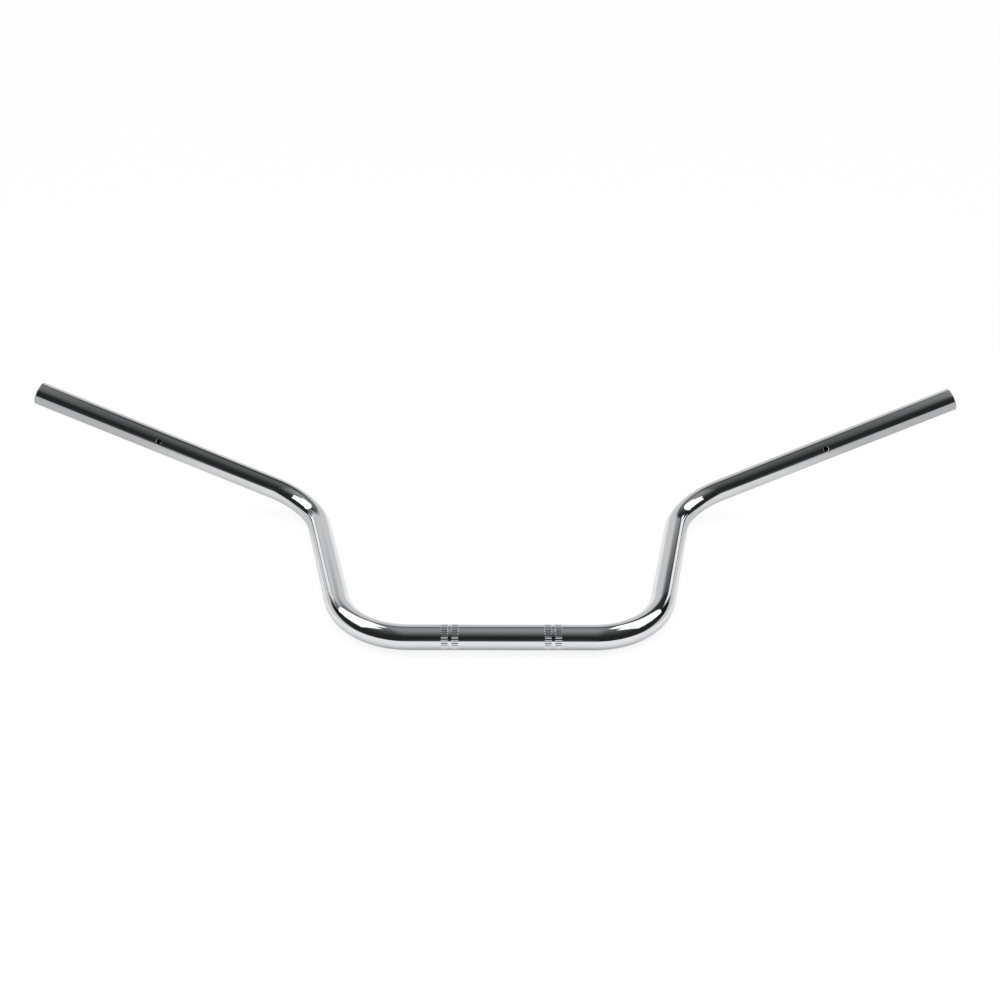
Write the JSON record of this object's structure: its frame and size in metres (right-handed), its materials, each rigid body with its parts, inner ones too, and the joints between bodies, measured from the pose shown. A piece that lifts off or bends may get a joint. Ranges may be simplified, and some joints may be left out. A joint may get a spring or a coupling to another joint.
{
  "type": "motorcycle handlebar",
  "caption": "Bent steel tube handlebar with knurled clamp seats in the middle, rising bends and straight hollow ends for grips, levers and switches.",
  "frame": {"origin": "Middle of the straight clamp section, on the axis of the tube.", "axes": "+X along the clamp section towards the rider's right grip. +Y from the clamp section along the plane of the U, towards the upper bends. +Z square to that plane, on the side the grips lift to, which faces the rider on the bike and is up when the bar lies on a table."},
  "size_m": [0.9108, 0.2545, 0.1379],
  "materials": {
    "chrome_tube": "polished chrome plating on steel"
  },
  "bodies": {
    "root": {"handlebar": "chrome_tube"}
  },
  "joints": []
}
